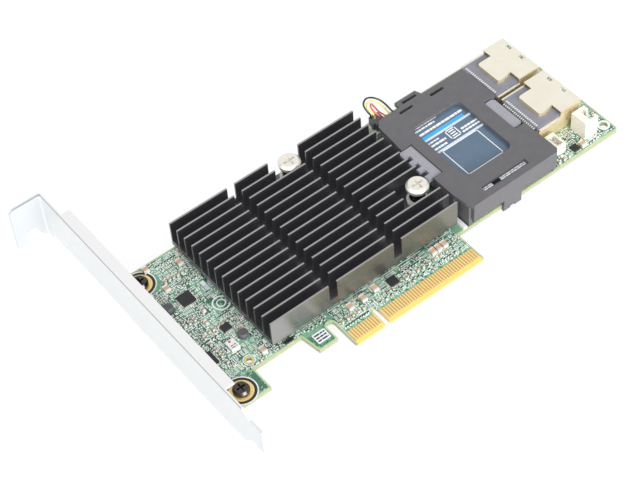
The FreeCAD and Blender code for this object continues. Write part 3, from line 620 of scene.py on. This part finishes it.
def board_dressing():
    """The dense small parts, pads, through-holes and printed marks between the larger parts."""
    stock = Stock(footprints())
    for field in FIELDS:
        fx0, fy0, fx1, fy1 = field
        area = (fx1 - fx0) * (fy1 - fy0)
        for k in range(int(area * GROUP_TRIES)):
            make, _, size = chance.choices(GROUPS, [group[1] for group in GROUPS])[0]
            count, turned = chance.randint(2, 6), chance.random() < 0.6
            lx, ly = size(count)
            if turned:
                lx, ly = ly, lx
            x, y = random_corner(field, lx, ly, COARSE)
            if y + ly < fy1 + 0.3 and x + lx < fx1 + 0.3 and stock.claim(x, y, lx, ly, 0.18):
                make(stock, turned, x, y, count)
        for k in range(int(area * SINGLE_TRIES)):
            kind, long, wide, high = chance.choice(SINGLES)
            turned = chance.random() < 0.5
            lx, ly = (wide, long) if turned else (long, wide)
            x, y = random_corner(field, lx, ly, COARSE)
            if stock.claim(x, y, lx, ly, 0.12):
                stock.two_ended(kind, turned, 0, 0, long, wide, high, x, y)
        for k in range(int(area * MARK_TRIES)):
            long, wide = chance.choice(MARK_LONG), chance.choice(MARK_WIDE)
            lx, ly = (long, wide) if chance.random() < 0.5 else (wide, long)
            x, y = random_corner(field, lx, ly, FINE)
            if stock.claim(x, y, lx, ly, 0.06):
                stock.bar("legend", False, 0, 0, lx, ly, INK, x, y)
        for k in range(int(area * HOLE_TRIES)):
            x, y = random_corner(field, 0, 0, FINE)
            if free(stock.spots, x - 0.2, y - 0.2, x + 0.2, y + 0.2, 0.03):
                disc(stock.sets["holes"], x, y, TOP, TOP + INK, chance.choice(HOLE_RADII), 8)
    made_of = {"brown": ("brown", "capacitor_tan"), "black_glaze": ("black_glaze", "resistor_black"),
               "resin": ("resin", "chip_resin"), "tan": ("tan", "tantalum_tan"), "tin": ("tin", "tin_plate"),
               "legend": ("legend", "solder_mask"), "holes": ("tin", "tin_plate")}
    for kind, (finish, slot) in made_of.items():
        piece("dense_" + kind, stock.sets[kind], finish)


def board_rim():
    """The light border of bare laminate round the board's outline and holes."""
    bm = bmesh.new()
    bm.from_mesh(frame["nodes"]["pcb"].data)
    bmesh.ops.remove_doubles(bm, verts=bm.verts, dist=WELD)
    wide, high = 0.55, 0.015
    lower = [f for f in bm.faces if f.normal.z < 0.99 or f.calc_center_median().z < (TOP - 0.01) * MM]
    bmesh.ops.delete(bm, geom=lower, context="FACES")
    middle = list(bm.faces)
    bmesh.ops.inset_region(bm, faces=middle, use_boundary=True, use_even_offset=True, thickness=wide * MM)
    below = [f for f in bm.faces if f.is_valid and f.calc_center_median().y < (PAD_Y + 0.1) * MM]
    bmesh.ops.delete(bm, geom=list(set(middle + below)), context="FACES")
    raised = bmesh.ops.extrude_face_region(bm, geom=list(bm.faces), use_keep_orig=True)["geom"]
    up = [v for v in raised if isinstance(v, bmesh.types.BMVert)]
    bmesh.ops.translate(bm, verts=up, vec=(0, 0, high * MM))
    piece("board_rim", bm, "pale_mask")


# Leads round a moulded chip: their pitch, half a lead's width, how far they stand out, how high they are
LEAD_PITCH, LEAD_HALF, LEAD_REACH, LEAD_HIGH = 0.5, 0.13, 0.45, 0.2


def chip_leads():
    """Short tinned leads round the moulded chips."""
    leads = bmesh.new()
    for node in ("controller_chip", "small_chips"):
        for x0, y0, z0, x1, y1, z1 in islands(node):
            for low, high, fixed, along_x in ((x0, x1, (y0, y1), True), (y0, y1, (x0, x1), False)):
                count = int((high - low - 0.3) / LEAD_PITCH)
                first = (low + high - LEAD_PITCH * (count - 1)) / 2
                for k in range(count):
                    at = first + LEAD_PITCH * k
                    for side, away in zip(fixed, (-LEAD_REACH, LEAD_REACH)):
                        wide, deep = (at - LEAD_HALF, at + LEAD_HALF), sorted((side, side + away))
                        xs, ys = (wide, deep) if along_x else (deep, wide)
                        slab(leads, xs[0], ys[0], TOP, xs[1], ys[1], TOP + LEAD_HIGH)
    piece("chip_leads", leads, "tin")


def screw_rings():
    """The plated seat and printed rings round each bracket screw and hole."""
    gold, ink, dark = bmesh.new(), bmesh.new(), bmesh.new()
    plating, border = 0.04, 0.02
    for x0, y0, z0, x1, y1, z1 in islands("bracket_screws"):
        x, y = (x0 + x1) / 2, (y0 + y1) / 2
        ring(gold, x, y, TOP, TOP + plating, 1.7, 4.0)
        ring(dark, x, y, TOP, TOP + border, 4.0, 4.9)
        ring(ink, x, y, TOP, TOP + INK, 4.95, 5.35)
    ring(gold, *TOOLING_HOLE, TOP, TOP + plating, 1.0, 1.45)
    ring(ink, *TOOLING_HOLE, TOP, TOP + INK, 1.75, 2.05)
    ring(ink, *CORNER_HOLE, TOP, TOP + INK, 1.5, 2.2)
    for inner, outer in ((1.2, 1.6), (2.5, 3.0)):
        ring(ink, *RING_MARK, TOP, TOP + INK, inner, outer)
    piece("screw_seats", gold, "gold")
    piece("printed_rings", ink, "legend")
    piece("seat_borders", dark, "resin")


def dashes(bm, x0, x1, y, wide, z, seed):
    """One printed row, broken into dashes of uneven length."""
    pick, x = random.Random(seed), x0
    while x < x1:
        end = min(x1, x + pick.choice((0.9, 1.3, 2.0)))
        slab(bm, x, y, z, end, y + wide, z + INK)
        x = end + 0.22


# Print on the battery's film. Bars and frames are x0, y0, x1, y1, a frame with its line's width after them;
# rows are x0, x1, y, height.
BLUE_BAR = (51.9, 44.9, 70.2, 46.2)
PALE_BARS = ((51.9, 43.9, 73.4, 44.8), (51.9, 37.4, 73.4, 38.3))
FILM_ROWS = (
    (54.6, 58.2, 52.0, 0.35), (53.0, 62.8, 50.5, 0.7), (52.2, 61.0, 49.1, 0.7),
    (51.9, 71.2, 47.0, 0.9), (52.4, 57.2, 42.4, 0.6), (52.4, 59.0, 40.8, 0.8),
    (52.0, 58.0, 39.0, 0.8), (65.4, 73.6, 40.6, 0.8), (65.0, 73.6, 39.2, 0.8),
)
FILM_FRAMES = ((54.0, 24.0, 69.2, 37.4, 0.32), (60.2, 39.2, 64.4, 43.6, 0.4))
SMALL_BARS = [(61.2, 40.1 + 1.1 * k, 63.4, 40.6 + 1.1 * k) for k in range(3)]
# The two groups of rows on the slim label, as x0, x1
SLIM_ROWS = ((53.4, 57.6), (61.0, 72.2))


def flat(bm, z, x0, y0, x1, y1):
    """A printed field that lies on the height z."""
    slab(bm, x0, y0, z, x1, y1, z + INK)


def label_print():
    """Plain bars and fields on the battery's film and on the slim label under the long slot, whose rows glow
    as painted light in the slot's shade.
    """
    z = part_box("battery_label")[1].z / MM
    white, blue, pale, dark, glowing = (bmesh.new() for _ in range(5))
    flat(blue, z, *BLUE_BAR)
    for bar in PALE_BARS:
        flat(pale, z, *bar)
    for number, (x0, x1, y, wide) in enumerate(FILM_ROWS):
        dashes(white, x0, x1, y, wide, z, number)
    for x0, y0, x1, y1, wide in FILM_FRAMES:
        for side in ((x0, y0, x1, y0 + wide), (x0, y1 - wide, x1, y1),
                     (x0, y0, x0 + wide, y1), (x1 - wide, y0, x1, y1)):
            flat(white, z, *side)
    for bar in SMALL_BARS:
        flat(white, z, *bar)
    low, high = [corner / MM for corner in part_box("data_label")]
    flat(dark, high.z, low.x + 0.05, low.y + 0.05, high.x - 0.05, high.y - 0.05)
    for x0, x1 in SLIM_ROWS:
        for row in range(2):
            dashes(glowing, x0, x1, low.y + 0.15 + 0.72 * row, 0.52, high.z + INK, 20 + row)
    piece("label_white", white, "legend")
    piece("label_blue", blue, "blue_ink")
    piece("label_pale", pale, "pale_blue_ink")
    piece("label_dark", dark, "dark_print")
    piece("slim_label_glowing_rows", glowing, "glowing_ink")


# The carrier's lug slot along x
SLOT_X0, SLOT_X1 = 56.8, 64.0
# A housing's contact tips: how many, their pitch, half a tip's width, and where they start and end,
# measured from the housing's rear edge
TIPS, TIP_PITCH, TIP_HALF, TIP_START, TIP_END = 18, 0.86, 0.23, 0.45, 1.25


def carrier_details():
    """A dark sheet under the carrier's lug slot, painted shade for the slot's shadowed inside, and the
    contact tips along each housing's rear edge.
    """
    shade_sheet, tips = bmesh.new(), bmesh.new()
    high = [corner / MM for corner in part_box("battery_carrier")[1]]
    roof = high[2] - 1.5
    # Painted shade: a dark sheet just under the slot's roof, where the inside of the slot falls in shadow.
    slab(shade_sheet, SLOT_X0, high[1] - 2.7, roof - 0.3, SLOT_X1, high[1] - 0.4, roof)
    for tag in "ab":
        low, top = [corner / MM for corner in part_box("sas_housing_" + tag)]
        middle = (low.y + top.y) / 2
        for k in range(TIPS):
            y = middle + TIP_PITCH * (k - (TIPS - 1) / 2)
            slab(tips, low.x + TIP_START, y - TIP_HALF, top.z, low.x + TIP_END, y + TIP_HALF, top.z + 0.03)
    piece("lug_slot_painted_shade", shade_sheet, "resin")
    piece("contact_tips", tips, "tin")


def board_labels():
    """The paper label on the tab, the oscillator's dot and a few plain printed fields."""
    paper, dark, red = bmesh.new(), bmesh.new(), bmesh.new()
    label_x0, label_y0, label_x1, label_y1 = TAB_LABEL
    label_top = TOP + 0.08
    slab(paper, label_x0, label_y0, TOP, label_x1, label_y1, label_top)
    for row in range(3):
        dashes(dark, label_x0 + 0.4, label_x1 - 0.4, label_y0 + 0.5 + 1.15 * row, 0.55, label_top, 40 + row)
    x0, y0, z0, x1, y1, z1 = islands("oscillator")[0]
    disc(red, (x0 + x1) / 2 - 0.2, y1 - 0.7, z1, z1 + INK, 0.42)
    for row in range(2):
        dashes(dark, x0 + 0.6, x1 - 0.5, y0 + 0.7 + 0.8 * row, 0.3, z1, 50 + row)
    lines, field = bmesh.new(), bmesh.new()
    for line in EDGE_LINES:
        flat(lines, TOP, *line)
    flat(field, TOP, *BLUE_FIELD)
    flat(lines, TOP, *WHITE_FIELD)
    piece("edge_lines", lines, "legend")
    piece("blue_field", field, "pale_blue_ink")
    piece("tab_label", paper, "paper")
    piece("label_marks", dark, "dark_print")
    piece("oscillator_dot", red, "red_ink")


dress_nodes()
chip_parts("small_capacitors", "brown", "tin")
chip_parts("small_resistors", "black_glaze", "tin")
chip_parts("tan_capacitors", "tan", "tin")
board_dressing()
board_rim()
chip_leads()
screw_rings()
label_print()
carrier_details()
board_labels()


# ---- Floor, light and camera ----

FLOOR_HALF, FLOOR_GAP = 4.0, 0.0004
# The strength at which the surroundings show as white, and how much of it the shadowed floor gives
WHITE, FLOOR_GLOW = 1.05, 0.86
SOFT_COLOR, SOFT = (0.94, 0.97, 1.0, 1), 0.62


def seen_white(tree):
    """1 for rays that show the surroundings: straight to the camera, mirrored or passed on."""
    path = tree.nodes.new("ShaderNodeLightPath")
    total = path.outputs["Is Camera Ray"]
    for ray in ("Is Glossy Ray", "Is Transmission Ray"):
        add = tree.nodes.new("ShaderNodeMath")
        add.operation = "MAXIMUM"
        tree.links.new(total, add.inputs[0])
        tree.links.new(path.outputs[ray], add.inputs[1])
        total = add.outputs[0]
    return total


def floor():
    """A white ground just under the card that keeps the card's shadow."""
    bm = bmesh.new()
    bmesh.ops.create_grid(bm, x_segments=1, y_segments=1, size=FLOOR_HALF,
                          matrix=Matrix.Translation((0, 0, card_box[0][2] - FLOOR_GAP)))
    mesh = bpy.data.meshes.new("floor")
    bm.to_mesh(mesh)
    bm.free()
    made = bpy.data.objects.new("floor", mesh)
    bpy.context.scene.collection.objects.link(made)
    paint = bpy.data.materials.new("floor_white")
    paint.use_nodes = True
    tree = paint.node_tree
    shader = tree.nodes["Principled BSDF"]
    shader.inputs["Base Color"].default_value = (0.88, 0.88, 0.88, 1)
    shader.inputs["Roughness"].default_value = 0.9
    glow = tree.nodes.new("ShaderNodeEmission")
    glow.inputs["Strength"].default_value = WHITE
    mix = tree.nodes.new("ShaderNodeMixShader")
    share = tree.nodes.new("ShaderNodeMath")
    share.operation = "MULTIPLY"
    share.inputs[1].default_value = FLOOR_GLOW
    tree.links.new(seen_white(tree), share.inputs[0])
    tree.links.new(share.outputs[0], mix.inputs[0])
    tree.links.new(shader.outputs[0], mix.inputs[1])
    tree.links.new(glow.outputs[0], mix.inputs[2])
    tree.links.new(mix.outputs[0], tree.nodes["Material Output"].inputs["Surface"])
    mesh.materials.append(paint)


def surroundings():
    """Soft light from all round, which shows as white."""
    world = bpy.data.worlds.new("studio")
    bpy.context.scene.world = world
    world.use_nodes = True
    tree = world.node_tree
    soft = tree.nodes["Background"]
    soft.inputs["Color"].default_value = SOFT_COLOR
    soft.inputs["Strength"].default_value = SOFT
    white = tree.nodes.new("ShaderNodeBackground")
    white.inputs["Strength"].default_value = WHITE
    mix = tree.nodes.new("ShaderNodeMixShader")
    tree.links.new(seen_white(tree), mix.inputs[0])
    tree.links.new(soft.outputs[0], mix.inputs[1])
    tree.links.new(white.outputs[0], mix.inputs[2])
    tree.links.new(mix.outputs[0], tree.nodes["World Output"].inputs["Surface"])


def toward(azimuth, elevation):
    """The direction from the card to a lamp or camera. Azimuth 0 faces the contact edge."""
    a, e = math.radians(azimuth), math.radians(elevation)
    return Vector((math.sin(a) * math.cos(e), -math.cos(a) * math.cos(e), math.sin(e)))


def lamp(name, azimuth, elevation, strength, spread):
    """A distant lamp as wide as the angle spread, in degrees."""
    data = bpy.data.lights.new(name, "SUN")
    data.energy = strength
    data.angle = math.radians(spread)
    made = bpy.data.objects.new(name, data)
    bpy.context.scene.collection.objects.link(made)
    made.rotation_euler = toward(azimuth, elevation).to_track_quat("Z", "Y").to_euler()


# The camera's angles in degrees, the spot it looks at and its distance in mm, and its lens
AZIMUTH, ELEVATION, ROLL = -34.51, 50.25, -4.90
AIM, DISTANCE, LENS = Vector((5.32, 41.22, 0.0)), 595.7, 103.57


def camera():
    """The camera, tilted by ROLL about its own line of sight."""
    data = bpy.data.cameras.new("camera")
    data.lens = LENS
    data.clip_start, data.clip_end = 0.01, 20
    made = bpy.data.objects.new("camera", data)
    bpy.context.scene.collection.objects.link(made)
    back = toward(AZIMUTH, ELEVATION)
    level = Vector((0, 0, 1)).cross(back).normalized()
    frame_axes = Matrix((level, back.cross(level), back)).transposed().to_4x4()
    place = (AIM + back * DISTANCE) * MM
    made.matrix_world = Matrix.Translation(place) @ frame_axes @ Matrix.Rotation(math.radians(ROLL), 4, "Z")
    bpy.context.scene.camera = made


floor()
surroundings()
lamp("front_light", -15, 38, 1.45, 50)
lamp("left_light", -85, 35, 0.68, 60)
lamp("low_light", 5, 8, 3.1, 40)
camera()
bpy.context.scene.view_settings.view_transform = "Standard"
